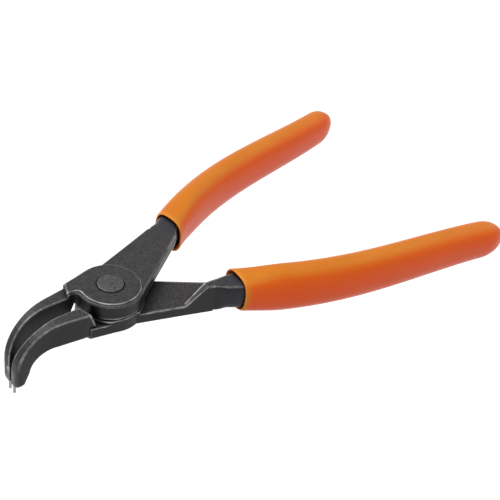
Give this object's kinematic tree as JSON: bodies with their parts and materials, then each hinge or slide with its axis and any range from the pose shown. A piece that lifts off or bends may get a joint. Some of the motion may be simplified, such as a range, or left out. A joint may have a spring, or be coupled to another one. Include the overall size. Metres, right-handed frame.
{
  "type": "circlip pliers",
  "caption": "Pliers for external retaining rings, with jaws bent through a right angle, inserted round tips and dipped grips; squeezing the handles opens the jaws.",
  "frame": {"origin": "on the rivet's axis, at the flat outer face of its lower head", "axes": "+X along the handles, away from the jaws, in the plane of symmetry between the handles; +Y towards the upper lever's handle; +Z along the rivet's axis, towards the upper lever; the jaws bend towards -Z"},
  "size_m": [0.1435, 0.0798, 0.0238],
  "materials": {
    "blackened_steel": "blackened, fine ground satin",
    "rivet_steel": "satin, lightly blackened",
    "tip_steel": "ground",
    "orange_vinyl": "satin, dip coated"
  },
  "bodies": {
    "lower": {"lower_lever": "blackened_steel", "pivot_rivet": "rivet_steel", "lower_tip": "tip_steel", "lower_grip": "orange_vinyl"},
    "upper": {"upper_lever": "blackened_steel", "upper_tip": "tip_steel", "upper_grip": "orange_vinyl"}
  },
  "joints": [
    {"name": "jaw_pivot", "type": "hinge", "parent": "lower", "child": "upper", "pos_m": [0, 0, 0.00505], "axis": [0, 0, -1], "range_deg": [-1, 29]}
  ]
}
